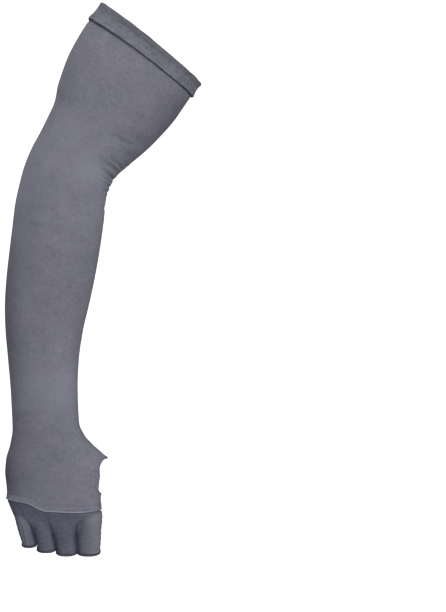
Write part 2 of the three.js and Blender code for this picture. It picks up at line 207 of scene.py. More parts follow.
def follow(places: Array, values: Array, at: Array) -> Array:
    """Follows a table's rows with a smooth curve that doesn't overshoot between them.

    Args:
        places: The rows' places, rising.
        values: The column's value in each row.
        at: The places that are asked for.

    Returns:
        The values there.
    """
    step = np.diff(places)
    slope = np.diff(values) / step
    tangent = np.zeros_like(values)
    tangent[0], tangent[-1] = slope[0], slope[-1]
    for i in range(1, len(places) - 1):
        if slope[i - 1] * slope[i] > 0:
            near, far = 2 * step[i] + step[i - 1], step[i] + 2 * step[i - 1]
            tangent[i] = (near + far) / (near / slope[i - 1] + far / slope[i])
    at = np.clip(at, places[0], places[-1])
    i = np.clip(np.searchsorted(places, at, side="right") - 1, 0, len(places) - 2)
    t = (at - places[i]) / step[i]
    return ease(t, values[i], step[i] * tangent[i], values[i + 1], step[i] * tangent[i + 1])


def signed_power(value: Array, power: Numbers) -> Array:
    """Raises the size of a number to a power and keeps its sign."""
    return np.sign(value) * np.abs(value) ** power


def smoothstep(value: Numbers, low: float, high: float) -> Numbers:
    """Goes from 0 at low to 1 at high without a corner."""
    t = np.clip((value - low) / (high - low), 0, 1)
    return t * t * (3 - 2 * t)


def bell(value: Array, centre: float, width: Numbers) -> Array:
    """Is 1 at the centre and falls to almost 0 at twice the width away from it."""
    return np.exp(-(((value - centre) / width) ** 2))


def away_from(angle: Array, degrees: float) -> Array:
    """Gives how far each angle is from a direction in degrees, the short way round."""
    off = angle - math.radians(degrees)
    return np.arctan2(np.sin(off), np.cos(off))


def ripple(angle: Array, *waves: tuple[float, int, Numbers]) -> Array:
    """Adds up waves that run round a piece, each with its height, number round and start."""
    return sum(height * np.sin(number * angle + start) for height, number, start in waves)


@dataclass
class ArmForm:
    """The arm's outer surface in its cloth, as places down the arm and angles round it."""

    hem_at: float = 488.7
    hem_height: float = 6.4
    hem_tilt: float = 5.5
    hem_sag: float = 5.6
    hem_palm_sag: float = 1.5
    hem_rise: float = 5.0
    cuff_height: float = 18.6
    cuff_dip: float = 1.3
    cuff_tilt: float = 1.5
    lobe_back: float = 3.0
    lobe_breadth: float = 12.4
    taken_up_from: float = 450.6
    spine_step: float = 0.5
    # Beside a fold the cloth is full: how many half-lengths off, how much, and its spread
    beside: float = 1.9
    fullness: float = 0.38
    full_spread: float = 0.6
    columns: dict[str, Array] = field(init=False)
    spine: Array = field(init=False)

    def __post_init__(self) -> None:
        """Lays the tables out in columns and adds up the middle line."""
        names = ("at", "lean", "width", "depth", "back", "square")
        self.columns = {n: np.array([getattr(s, n) for s in SECTIONS]) for n in names}
        places = np.arange(0, SECTIONS[-1].at, self.spine_step)
        lean = np.radians(self.column("lean", places + self.spine_step / 2))
        steps = np.stack([-np.sin(lean), -np.cos(lean)], axis=1) * self.spine_step
        self.spine = np.vstack([[0.0, 0.0], np.cumsum(steps, axis=0)])

    def column(self, name: str, at: Numbers) -> Array:
        """Reads one column of the sections at any place down the arm."""
        return follow(self.columns["at"], self.columns[name], np.asarray(at, float))

    def middle(self, at: Numbers) -> Array:
        """Gives the middle line's point at a place down the arm."""
        places = np.arange(len(self.spine)) * self.spine_step
        x = np.interp(at, places, self.spine[:, 0])
        z = np.interp(at, places, self.spine[:, 1])
        return np.stack([x, self.column("back", at), z], axis=-1)

    def smooth(self, at: Array, angle: Array) -> Array:
        """Gives the outer surface before its folds.

        Args:
            at: Distance down the arm.
            angle: Angle round it, 0 on the thumb side and 270 degrees in front.

        Returns:
            Points, one for each pair.
        """
        at, angle = np.broadcast_arrays(np.asarray(at, float), np.asarray(angle, float))
        lean = np.radians(self.column("lean", at))
        power = 2 / self.column("square", at)
        across = signed_power(np.cos(angle), power)
        y = 0.5 * self.column("depth", at) * signed_power(np.sin(angle), power)
        u = 0.5 * self.column("width", at) * across
        lobe = np.array(THUMB_LOBE)
        side = np.clip(across, 0, 1)
        reach = follow(lobe[:, 0], lobe[:, 1], at)
        near = bell(y, self.lobe_back, self.lobe_breadth)
        u = u + reach * near * side * side * (3 - 2 * side)
        centre = self.middle(at)
        return centre + np.stack([u * np.cos(lean), y, -u * np.sin(lean)], axis=-1)

    def folds(self, at: Array, angle: Array) -> Array:
        """Adds up how deep the folds are, with the cloth a little full beside each."""
        total = np.zeros(np.broadcast(at, angle).shape)
        for crease in CREASES:
            away = away_from(angle, crease.angle)
            along = (at - crease.at - crease.slant * away) / crease.length
            full = np.exp(-((np.abs(along) - self.beside) ** 2) / self.full_spread)
            shape = bell(along, 0, 1) - self.fullness * full
            total += crease.depth * shape * bell(away, 0, math.radians(crease.spread))
        return total

    def painted_light_and_shade(self, at: Array, angle: Array) -> Array:
        """Gives the patches' painted light; below zero it is painted shade."""
        total = np.zeros(np.broadcast(at, angle).shape)
        for patch in PAINTED_PATCHES:
            round_it = away_from(angle, patch.angle) / math.radians(patch.spread)
            along = (at - patch.at) / patch.length
            total += patch.amount * np.exp(-along * along - round_it * round_it)
        return total

    def skin(self, at: Array, angle: Array, lift: Numbers = 0) -> Array:
        """Gives points of the cloth, lifted off the outer surface along its normal.

        Args:
            at: Distance down the arm.
            angle: Angle round it.
            lift: Distance outward.

        Returns:
            Points, one for each pair.
        """
        point = self.smooth(at, angle)
        down = self.smooth(at + 1, angle) - self.smooth(at - 1, angle)
        round_it = self.smooth(at, angle + 0.03) - self.smooth(at, angle - 0.03)
        normal = np.cross(down, round_it)
        normal /= np.maximum(np.linalg.norm(normal, axis=-1, keepdims=True), 1e-9)
        away = np.sum(normal * (point - self.middle(at)), axis=-1, keepdims=True)
        normal = np.where(away < 0, -normal, normal)
        lift = np.broadcast_to(lift, np.shape(at)) - self.folds(at, angle)
        return point + normal * lift[..., None]

    def seam(self, at: Array, angle: Array, lift: Numbers) -> tuple[Array, Array]:
        """Gives the points of a seam on the cloth, and the cloth's normals there."""
        path = self.skin(at, angle, lift)
        return path, self.skin(at, angle, lift + 1) - path

    def hem_drop(self, angle: Array) -> Array:
        """Says how far the knuckle hem hangs below a level ring: least at the little finger."""
        sag = np.where(np.sin(angle) < 0, self.hem_sag, self.hem_palm_sag)
        little = np.clip(-np.cos(angle), 0, None)
        back = smoothstep(-np.sin(angle), -0.8, 0)
        rise = smoothstep(little, 0.08, 0.48) - 0.38 * smoothstep(little, 0.5, 1)
        drop = self.hem_tilt * np.cos(angle) + sag * np.sin(angle) ** 2
        return drop - self.hem_rise * back * rise

    def dropped(self, at: Numbers, angle: Array) -> Array:
        """Moves a level place to follow the knuckle hem, the rim and the cuff's lower lip."""
        share = smoothstep(at, self.taken_up_from, self.hem_at - self.hem_height)
        level = at / self.cuff_height
        dip = np.clip(1 - level, 0, None) * self.cuff_dip * np.clip(-np.sin(angle), 0, None)
        near_lip = smoothstep(level, 0.15, 1) * (1 - smoothstep(level, 1, 4))
        return at + share * self.hem_drop(angle) + dip + near_lip * self.cuff_tilt * np.cos(angle)

    def cloth(self, at: Numbers, angle: Array, lift: Numbers) -> Array:
        """Gives points of the cloth whose rows follow the hem and the rim."""
        return self.skin(self.dropped(at, angle), angle, lift)


@dataclass
class FingerForm:
    """The four stalls: they bend evenly from the knuckle line to the webs, then run straight."""

    arm: ArmForm
    palm_width: float = 94.0
    palm_depth: float = 31.0
    flex_degrees: float = 18.0
    web_length: float = 25.0
    knuckle_at: float = 492.13
    pressed: float = 0.15
    squareness: float = 0.88

    def bend(self, down: Array) -> tuple[Array, Array, Array]:
        """Gives the y, z and turn of the middle of the stalls below the knuckle line.

        Args:
            down: Distance below the knuckle line.

        Returns:
            The y, the z and the angle that the stalls have turned through.
        """
        knuckle = self.arm.middle(self.knuckle_at)
        flex = math.radians(self.flex_degrees)
        radius = self.web_length / flex
        angle = np.clip(np.asarray(down, float) / radius, 0, flex)
        rest = down - angle * radius
        back = radius * (1 - np.cos(angle)) + rest * np.sin(angle)
        below = radius * np.sin(angle) + rest * np.cos(angle)
        return knuckle[1] + back, knuckle[2] - below, angle

    def plain_stall(self, finger: Finger, down: Array) -> tuple[Array, ...]:
        """Gives a stall's left edge, right edge and half-depth before the stalls press together."""
        web, half = self.web_length, self.palm_width / 2
        near, far = 0.42 * web, 1.2 * finger.length
        places = np.array([-0.2 * web, 0.12 * web, near, web, finger.length, far])
        x = half * np.array([0.95 * finger.root, 0.98 * finger.root, finger.knuckle, finger.web,
                             finger.end, finger.end])
        wide = np.array([0.5 * finger.root_wide, 0.8 * finger.root_wide, finger.root_wide,
                         finger.web_wide, 1, 1])
        deep = np.array([0.5, 0.9, 1.32, 1.12, 1, 1])
        centre = self.arm.middle(self.knuckle_at)[0] + follow(places, x, down)
        half_width = follow(places, wide, down) * finger.width / 2
        half_depth = follow(places, deep, down) * finger.depth / 2
        return centre - half_width, centre + half_width, half_depth

    def stall(self, finger: Finger, down: Array) -> tuple[Array, ...]:
        """Gives a stall's middle x, half-width and half-depth, pressed against its neighbours.

        Args:
            finger: The stall.
            down: Distances below the knuckle line.

        Returns:
            The middle x, the half-width and the half-depth.
        """
        i = FINGERS.index(finger)
        left, right, depth = self.plain_stall(finger, down)
        if i > 0:
            other = self.plain_stall(FINGERS[i - 1], down)[1]
            left = np.minimum(left, (left + other) / 2 - self.pressed)
        if i < len(FINGERS) - 1:
            other = self.plain_stall(FINGERS[i + 1], down)[0]
            right = np.maximum(right, (right + other) / 2 + self.pressed)
        return (left + right) / 2, (right - left) / 2, depth

    def oval(self, down: Array, x: Array, half: tuple[Array, Array],
             angle: Array, power: float) -> Array:
        """Gives points of an oval that stands square on the bent middle of the stalls.

        Args:
            down: Distances below the knuckle line.
            x: The oval's middle.
            half: Its half-width and half-depth.
            angle: Angles round it, 0 on the thumb side and 270 degrees in front.
            power: How square it is; 1 is an ellipse, and less is squarer.

        Returns:
            Points, one for each pair.
        """
        y, z, turn = self.bend(down)
        u = half[0] * signed_power(np.cos(angle), power)
        v = half[1] * signed_power(np.sin(angle), power)
        flat = np.broadcast_arrays(x + u, y + v * np.cos(turn), z + v * np.sin(turn))
        return np.stack(flat, axis=-1)

    def ring(self, finger: Finger, down: Array, angle: Array, lift: Numbers) -> Array:
        """Gives points round a stall.

        Args:
            finger: The stall.
            down: Distances below the knuckle line.
            angle: Angles round it, 0 on the thumb side and 270 degrees in front.
            lift: Distance outward.

        Returns:
            Points, one for each pair.
        """
        x, half_width, half_depth = self.stall(finger, down)
        half = (half_width + lift, half_depth + lift)
        return self.oval(down, x, half, angle, self.squareness)


# Meshes

def angles(count: int) -> Array:
    """Gives even angles round a ring."""
    return np.arange(count) / count * TURN


def ring_faces(rings: int, count: int, closed: bool) -> list[tuple[int, ...]]:
    """Joins rings of points with quads.

    Args:
        rings: How many rings there are.
        count: How many points each has.
        closed: True if the last ring joins the first. Otherwise both ends are capped.

    Returns:
        The faces.
    """
    faces = []
    for i in range(rings if closed else rings - 1):
        a, b = i * count, ((i + 1) % rings) * count
        faces += [(a + j, b + j, b + (j + 1) % count, a + (j + 1) % count) for j in range(count)]
    if not closed:
        far = (rings - 1) * count
        faces += [tuple(range(count)), tuple(range(far + count - 1, far - 1, -1))]
    return faces


def make_object(name: str, points: Array, faces: list[tuple[int, ...]],
                crisp: float = 40.0) -> Piece:
    """Makes a smooth-shaded object from points in millimetres.

    Args:
        name: The object's name.
        points: The points.
        faces: The faces, as point numbers.
        crisp: Edges that turn by more than this many degrees stay crisp.

    Returns:
        The object.
    """
    mesh = bpy.data.meshes.new(name)
    mesh.from_pydata((points.reshape(-1, 3) * MM).tolist(), [], faces)
    work = bmesh.new()
    work.from_mesh(mesh)
    bmesh.ops.recalc_face_normals(work, faces=work.faces)
    if work.calc_volume(signed=True) < 0:
        bmesh.ops.reverse_faces(work, faces=work.faces)
    work.to_mesh(mesh)
    work.free()
    piece = bpy.data.objects.new(name, mesh)
    bpy.context.scene.collection.objects.link(piece)
    smooth_shading(piece, crisp)
    return piece


def smooth_shading(piece: Piece, crisp: float) -> None:
    """Shades a piece smoothly apart from its crisp edges."""
    piece.data.polygons.foreach_set("use_smooth", [True] * len(piece.data.polygons))
    piece.data.set_sharp_from_angle(angle=math.radians(crisp))
    piece.data.update()


def points_of(piece: Piece) -> Array:
    """Reads a piece's points, in millimetres."""
    found = np.empty(3 * len(piece.data.vertices))
    piece.data.vertices.foreach_get("co", found)
    return found.reshape(-1, 3) / MM


def put_points(piece: Piece, points: Array) -> None:
    """Writes a piece's points, in millimetres."""
    piece.data.vertices.foreach_set("co", (points * MM).ravel())
    piece.data.update()


def put_tones(piece: Piece, shade: Array, pale: Array) -> None:
    """Stores the painted shade and painted light at each point, for its finish to read."""
    for name, values in (("shade", shade), ("pale", pale)):
        made = piece.data.attributes.new(name, "FLOAT", "POINT")
        made.data.foreach_set("value", np.clip(values, 0, 1).astype(np.float32).ravel())


def apply_modifiers(piece: Piece) -> None:
    """Replaces a piece's mesh by what its modifiers make of it."""
    graph = bpy.context.evaluated_depsgraph_get()
    made = bpy.data.meshes.new_from_object(piece.evaluated_get(graph))
    old = piece.data
    piece.modifiers.clear()
    piece.data = made
    made.name = old.name
    bpy.data.meshes.remove(old)


def dress(piece: Piece, material: Material) -> None:
    """Gives a whole piece one finish."""
    piece.data.materials.clear()
    piece.data.materials.append(material)
    piece.data.polygons.foreach_set("material_index", [0] * len(piece.data.polygons))


def cut_away(piece: Piece, cutter: Piece) -> None:
    """Cuts one closed mesh out of another and deletes the cutter."""
    step = piece.modifiers.new("cut", "BOOLEAN")
    step.operation, step.object, step.solver = "DIFFERENCE", cutter, "MANIFOLD"
    apply_modifiers(piece)
    bpy.data.objects.remove(cutter)


def lay_cloth(piece: Piece, turn: Array, down: Array, girth: float) -> None:
    """Lays the knit along a piece: the map's first number runs round it, its second down it.

    Args:
        piece: The piece.
        turn: For each point, the share of a turn round the piece.
        down: For each point, the distance down the cloth.
        girth: The distance round, in millimetres.
    """
    mesh = piece.data
    point_of = np.empty(len(mesh.loops), dtype=np.int64)
    mesh.loops.foreach_get("vertex_index", point_of)
    starts = np.empty(len(mesh.polygons), dtype=np.int64)
    mesh.polygons.foreach_get("loop_start", starts)
    share = (turn % 1)[point_of]
    most = np.maximum.reduceat(share, starts)
    sizes = np.diff(np.append(starts, len(point_of)))
    share = share + ((np.repeat(most, sizes) - share) > 0.5)
    made = mesh.uv_layers.new(name=CLOTH_MAP)
    both = np.stack([share * girth * MM, down[point_of] * MM], axis=1).astype(np.float32)
    made.data.foreach_set("uv", both.ravel())


def rounded(profile: list[tuple[float, float]], passes: int) -> Array:
    """Rounds the corners of a closed profile by cutting them again and again."""
    points = np.array(profile)
    for _ in range(passes):
        after = np.roll(points, -1, axis=0)
        points = np.stack([0.75 * points + 0.25 * after, 0.25 * points + 0.75 * after], axis=1)
        points = points.reshape(-1, 2)
    return points


def carry_round(profile: Array, count: int) -> tuple[Array, Array, Array]:
    """Carries a cross-section round: gives places, angles and lifts, a row for each ring."""
    at, angle = np.meshgrid(profile[:, 0], angles(count), indexing="ij")
    return at, angle, np.broadcast_to(profile[:, 1][:, None], at.shape).copy()


def make_band(name: str, points: Array, profile: Array, angle: Array, girth: float) -> Piece:
    """Makes a closed band of cloth and lays the knit along it.

    Args:
        name: The object's name.
        points: The points, a row for each ring.
        profile: The cross-section.
        angle: The points' angles round the band.
        girth: The distance round, in millimetres.

    Returns:
        The object.
    """
    rings, count = angle.shape
    piece = make_object(name, points, ring_faces(rings, count, True), BAND_CRISP)
    down = np.concatenate([[0], np.cumsum(np.hypot(*np.diff(profile, axis=0).T))])
    lay_cloth(piece, angle.ravel() / TURN, np.repeat(down, count), girth)
    return piece


def on_loop(values: Array, run: Array, at: float) -> Array:
    """Reads the value at a distance along a loop."""
    return np.array([np.interp(at, run, values[:, axis]) for axis in range(3)])


def add_stitches(piece: Piece, path: Array, outward: Array, stitch: Stitch,
                 material: Material) -> None:
    """Sews a row of small raised stitches into a piece.

    Args:
        piece: The piece that gets them.
        path: Points along the seam in millimetres, a closed loop.
        outward: The cloth's normal at each.
        stitch: The sizes of a stitch.
        material: The thread's finish.
    """
    loop = np.vstack([path, path[:1]])
    normals = np.vstack([outward, outward[:1]])
    run = np.concatenate([[0], np.cumsum(np.linalg.norm(np.diff(loop, axis=0), axis=1))])
    count = max(3, int(round(run[-1] / stitch.pitch)))
    rows = np.array(STITCH_ROWS)
    girths = np.sqrt(np.clip(1.0 - rows**4, 0.02, 1))
    points, faces = [], []
    for k in range(count):
        at = (k + 0.5) / count * run[-1]
        first, last = (on_loop(loop, run, at + s * stitch.length / 2) for s in (-1, 1))
        middle, along = (first + last) / 2, (last - first) / 2
        side = np.cross(along, on_loop(normals, run, at))
        side /= np.linalg.norm(side)
        up = np.cross(side, along / np.linalg.norm(along))
        base = len(points)
        for row, girth in zip(rows, girths):
            half = 0.5 * stitch.thick * girth
            for turn in angles(STITCH_SIDES):
                rise = 0.35 * stitch.thick * (1 - row * row) + half * math.sin(turn)
                points.append(middle + along * row + up * rise + side * half * math.cos(turn))
        faces += [tuple(base + n for n in f) for f in ring_faces(len(rows), STITCH_SIDES, False)]
    thread = make_object(piece.name + "_thread", np.array(points), faces, STITCH_CRISP)
    number = len(piece.data.materials)
    piece.data.materials.append(material)
    work = bmesh.new()
    work.from_mesh(piece.data)
    before = len(work.faces)
    work.from_mesh(thread.data)
    work.faces.ensure_lookup_table()
    for face in work.faces[before:]:
        face.material_index = number
    work.to_mesh(piece.data)
    work.free()
    bpy.data.objects.remove(thread)


# Finishes

class Nodes:
    """Adds shader nodes to a material and links them."""

    def __init__(self, tree: bpy.types.NodeTree) -> None:
        """Starts from an empty tree."""
        self.tree = tree
        tree.nodes.clear()

    def add(self, kind: str, inputs: dict | None = None, **settings: object) -> bpy.types.Node:
        """Adds one node.

        Args:
            kind: The node's type, without the ShaderNode in front.
            inputs: Values or sockets for its inputs, by name or number.
            settings: The node's own settings.

        Returns:
            The node.
        """
        node = self.tree.nodes.new("ShaderNode" + kind)
        for name, value in settings.items():
            setattr(node, name, value)
        for name, value in (inputs or {}).items():
            if isinstance(value, Socket):
                self.tree.links.new(value, node.inputs[name])
            else:
                node.inputs[name].default_value = value
        return node

    def math(self, operation: str, *values: object) -> Socket:
        """Adds a sum, product or other simple step and returns its result."""
        return self.add("Math", dict(enumerate(values)), operation=operation).outputs[0]

    def plus(self, start: object, value: object, by: float) -> Socket:
        """Adds a value times a factor to another value."""
        return self.math("ADD", start, self.math("MULTIPLY", value, by))

    def noise(self, place: Socket, scale: float, detail: float = 2.0) -> Socket:
        """Adds a noise pattern at a place and returns its value, about 0.5 on average."""
        settings = {"Vector": place, "Scale": scale, "Detail": detail, "Roughness": 0.6}
        return self.add("TexNoise", settings, noise_dimensions="3D").outputs[0]

    def surface(self, inputs: dict) -> None:
        """Adds the shader and links it to the material's output."""
        shader = self.add("BsdfPrincipled", inputs)
        self.add("OutputMaterial", {"Surface": shader.outputs[0]})

    def scaled(self, colour: object, by: object) -> Socket:
        """Makes a colour lighter or darker by a factor."""
        return self.add("VectorMath", {0: colour, "Scale": by}, operation="SCALE").outputs[0]

    def blend(self, share: object, first: object, second: object) -> Socket:
        """Goes from one colour to another."""
        node = self.add("Mix", {0: share}, data_type="RGBA")
        for number, value in ((6, first), (7, second)):
            if isinstance(value, Socket):
                self.tree.links.new(value, node.inputs[number])
            else:
                node.inputs[number].default_value = (*value, 1.0)
        return node.outputs[2]


def new_material(name: str) -> tuple[Material, Nodes]:
    """Makes an empty material, and gives it with what adds its nodes."""
    made = bpy.data.materials.new(name)
    made.use_nodes = True
    return made, Nodes(made.node_tree)


@dataclass(frozen=True)
class KnitFinish:
    """A fine knitted cloth. Colours are linear, lengths in metres."""

    name: str
    colour: tuple[float, float, float]
    other: tuple[float, float, float]
    # The colours that painted shade and painted light blend towards
    deep: tuple[float, float, float]
    pale: tuple[float, float, float]
    heather: float = 0.5
    streaks: float = 0.3
    clouds: float = 0.34
    wale: float = 0.00095
    course: float = 0.00075
    relief: float = 0.00016
    bump: float = 0.55
    roughness: float = 0.92
    sheen: float = 0.04
    fine_scale: float = 310.0
    cloud_scale: float = 62.0
    patch_scale: float = 34.0
    streak_scale: tuple[float, float] = (70.0, 850.0)

    def material(self) -> Material:
        """Builds the finish: two mixed yarns, faint rows, knitted relief, and painted shade and
        painted light from each point's marks.

        Returns:
            The material.
        """
        made, nodes = new_material(self.name)
        place = nodes.add("TexCoord").outputs["Object"]
        cloth = nodes.add("UVMap", uv_map=CLOTH_MAP).outputs[0]
        parts = nodes.add("SeparateXYZ", {0: cloth}).outputs
        fine = nodes.noise(place, self.fine_scale)
        clouds = nodes.noise(place, self.cloud_scale, 3.0)
        rows = {i: nodes.math("MULTIPLY", parts[i], by) for i, by in enumerate(self.streak_scale)}
        streaks = nodes.noise(nodes.add("CombineXYZ", rows).outputs[0], 1.0)
        tone = 1.0 - (self.heather + self.streaks + self.clouds) / 2
        for pattern, by in ((fine, self.heather), (streaks, self.streaks), (clouds, self.clouds)):
            tone = nodes.plus(tone, pattern, by)
        yarns = nodes.noise(place, self.patch_scale)
        patches = nodes.add("MapRange", {0: yarns, 1: 0.35, 2: 0.65}).outputs[0]
        yarn = nodes.scaled(nodes.blend(patches, self.colour, self.other), tone)
        # Each point's painted shade and painted light
        shade, pale = (nodes.add("Attribute", attribute_name=name).outputs["Fac"]
                       for name in ("shade", "pale"))
        bump = nodes.add("Bump", {"Height": self.knit_height(nodes, parts, fine),
                                  "Strength": self.bump, "Distance": self.relief})
        nodes.surface({
            "Base Color": nodes.blend(pale, nodes.blend(shade, yarn, self.deep), self.pale),
            "Roughness": self.roughness, "Sheen Weight": self.sheen, "Sheen Roughness": 0.5,
            "Specular IOR Level": 0.2, "Normal": bump.outputs[0],
        })
        return made

    def knit_height(self, nodes: Nodes, parts: object, fine: Socket) -> Socket:
        """Gives the relief of the stitches: upright wales of small slanting loops.

        Args:
            nodes: The material's nodes.
            parts: The cloth map's two numbers.
            fine: A fine noise for loose fibres.

        Returns:
            The height.
        """
        across = nodes.math("MULTIPLY", parts[0], 1.0 / self.wale)
        fold = nodes.math("PINGPONG", across, 0.5)
        down = nodes.plus(nodes.math("MULTIPLY", parts[1], TURN / self.course), fold, 4.0)
        loop = nodes.math("ABSOLUTE", nodes.math("SINE", nodes.math("MULTIPLY", across, math.pi)))
        rung = nodes.plus(0.7, nodes.math("SINE", down), 0.3)
        return nodes.plus(nodes.math("MULTIPLY", loop, rung), fine, 0.5)


@dataclass(frozen=True)
class ThreadFinish:
    """A sewing thread with a slight twist. The colour is linear."""

    name: str
    colour: tuple[float, float, float]
    roughness: float = 0.7
    twist_scale: float = 1600.0
    relief: float = 0.0001

    def material(self) -> Material:
        """Builds the finish.

        Returns:
            The material.
        """
        made, nodes = new_material(self.name)
        twist = nodes.noise(nodes.add("TexCoord").outputs["Object"], self.twist_scale)
        bump = nodes.add("Bump", {"Height": twist, "Strength": 0.4, "Distance": self.relief})
        nodes.surface({
            "Base Color": nodes.scaled(self.colour, nodes.plus(0.85, twist, 0.3)),
            "Roughness": self.roughness, "Sheen Weight": 0.1, "Normal": bump.outputs[0],
        })
        return made


KNIT = KnitFinish("slate_knit", (0.1785, 0.174, 0.22), (0.1675, 0.169, 0.209),
                  (0.045, 0.045, 0.068), (0.25, 0.25, 0.31))
CUFF_KNIT = KnitFinish("cuff_knit", (0.150, 0.150, 0.181), (0.142, 0.147, 0.178),
                       (0.03, 0.03, 0.046), (0.2, 0.2, 0.24), heather=0.85, clouds=0.7, streaks=0.9)
HEM_KNIT = KnitFinish("hem_knit", (0.166, 0.166, 0.212), (0.158, 0.163, 0.205),
                      (0.05, 0.05, 0.075), (0.30, 0.30, 0.36))
# A darker copy of the sleeve's knit: painted shade where the stalls turn down away from the light
SHADED_FINGER_KNIT = KnitFinish("finger_knit", (0.122, 0.122, 0.168), (0.113, 0.118, 0.162),
                         (0.036, 0.036, 0.058), (0.19, 0.19, 0.225))
ROLLED_KNIT = KnitFinish("rolled_knit", (0.075, 0.075, 0.1), (0.07, 0.072, 0.095),
                         (0.03, 0.03, 0.05), (0.12, 0.12, 0.15))
THREAD = ThreadFinish("grey_thread", (0.17, 0.17, 0.21))
HEM_THREAD = ThreadFinish("hem_thread", (0.158, 0.16, 0.202))


# Pieces

class Slot(Enum):
    """The record's material slots."""

    KNIT = "knit"
    CUFF = "cuff_knit"
    HEM = "hem_knit"
    FINGER = "finger_knit"
    ROLLED = "finger_hem_knit"


def place_piece(piece: Piece, node: str) -> Piece:
    """Fixes a finished piece to the sleeve's body in place of a plain solid, and reports it.

    Args:
        piece: The piece.
        node: The plain solid's name.

    Returns:
        The piece.
    """
    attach(piece, "root")
    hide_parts(node)
    size = np.ptp(points_of(piece), axis=0)
    log.info("%s: %d faces, %.0f by %.0f by %.0f mm", piece.name, len(piece.data.polygons), *size)
    return piece


@dataclass
class SleeveTube:
    """The long tube from under the cuff to the knuckle hem, with the thumb opening."""

    arm: ArmForm
    wall: float = 1.2
    start: float = 11.2
    end: float = 484.5
    count: int = 168
    girth: float = 285.0
    row_step: float = 1.6
    crook: tuple[float, float] = (108.0, 200.0)
    crook_step: float = 1.0
    inner_step: float = 3.2
    thumb_at: float = 459.66
    thumb_start: float = 30.1
    thumb_half_depth: float = 12.0
    thumb_half_height: float = 17.5
    thumb_back: float = 3.0
    thumb_corners: float = 0.6
    opening_room: float = 1.7
    cuff_edge: float = 18.6
    # The groove under the cuff's lip: depth, distance below the lip's edge and half-width
    lip_groove: tuple[float, float, float] = (0.5, 0.6, 1.6)
    cutter_points: int = 96
    cutter_reach: float = 90.0
    # The painted shade for each millimetre of a fold, and how far a full painted shade and a full
    # painted light go
    fold_shade: float = 0.3
    deep_darkens: float = 0.75
    pale_lightens: float = 0.42

    def rows(self) -> Array:
        """Gives the places of the outer rows, closer together in the crook of the elbow."""
        low, high = self.crook
        return np.concatenate([
            np.arange(self.start, low, self.row_step),
            np.arange(low, high, self.crook_step),
            np.arange(high, self.end, self.row_step),
            [self.end],
        ])

    def slot_edge(self, turn: Array, out: Numbers) -> tuple[Array, Array]:
        """Gives the edge of the thumb opening, a slot with rounded ends, seen from the side.

        Args:
            turn: Angles round it.
            out: Distance outward from the edge.

        Returns:
            The y and z of each point.
        """
        centre = self.arm.middle(self.thumb_at)
        even = turn - 0.2 * np.sin(4 * turn)
        across = signed_power(np.cos(even), self.thumb_corners)
        along = signed_power(np.sin(even), self.thumb_corners)
        y = centre[1] + self.thumb_back + (self.thumb_half_depth + out) * across
        return y, centre[2] + (self.thumb_half_height + out) * along

    def opening(self) -> Piece:
        """Makes the cutter for the thumb opening."""
        y, z = self.slot_edge(angles(self.cutter_points), self.opening_room)
        near = self.arm.middle(self.thumb_at)[0] + self.thumb_start - self.opening_room
        rings = [np.stack([np.full(self.cutter_points, near + out), y, z], axis=1)
                 for out in (0.0, self.cutter_reach)]
        faces = ring_faces(2, self.cutter_points, False)
        return make_object("thumb_cutter", np.array(rings), faces)

    def build(self) -> Piece:
        """Builds the tube, cuts the thumb opening and lays the knit on it.

        Returns:
            The piece.
        """
        outer = self.rows()
        inner = np.arange(self.end, self.start, -self.inner_step)
        places = np.concatenate([outer, inner, [self.start]])
        lifts = np.concatenate([np.zeros(len(outer)), np.full(len(inner) + 1, -self.wall)])
        # The seam draws the cloth in under the lip of the cuff
        depth, below, half_width = self.lip_groove
        lifts[:len(outer)] -= depth * bell(outer - self.cuff_edge, below, half_width)
        turn = angles(self.count)
        at, angle = np.meshgrid(places, turn, indexing="ij")
        points = self.arm.cloth(at, angle, np.broadcast_to(lifts[:, None], at.shape))
        piece = make_object("arm_tube", points, ring_faces(len(places), self.count, True))
        tree = KDTree(points.shape[0] * points.shape[1])
        for i, p in enumerate(points.reshape(-1, 3)):
            tree.insert(p, i)
        tree.balance()
        cut_away(piece, self.opening())
        nearest = np.array([tree.find(p)[1] for p in points_of(piece)])
        at, angle = at.ravel()[nearest], angle.ravel()[nearest]
        lay_cloth(piece, angle / TURN, self.arm.dropped(at, angle), self.girth)
        self.colour_in(piece, at, angle, nearest < len(outer) * self.count)
        smooth_shading(piece, 50)
        dress(piece, KNIT.material())
        return place_piece(piece, "sleeve_tube")

    def colour_in(self, piece: Piece, at: Array, angle: Array, outside: Array) -> None:
        """Paints shade into the folds, under the cuff's lip and on the inner side, and light and
        shade in patches.

        Args:
            piece: The piece.
            at: Each point's place down the arm.
            angle: Each point's angle round it.
            outside: True for the points of the outer side.
        """
        # Painted shade in the folds
        folded = np.clip(self.arm.folds(self.arm.dropped(at, angle), angle), 0, 2) * self.fold_shade
        # Painted shadow under the cuff's lower lip, along its seam
        seam = 0.75 * bell(at, self.cuff_edge, 1.3)
        # Painted light and painted shade in patches, on the outer side only
        painted_light_and_shade = self.arm.painted_light_and_shade(at, angle) * outside
        painted_patch_shade = np.clip(-painted_light_and_shade, 0, 1) / self.deep_darkens
        # The inner side gets an even painted shade
        shade = np.where(outside, folded + seam + painted_patch_shade, 0.25)
        put_tones(piece, shade, painted_light_and_shade / self.pale_lightens)


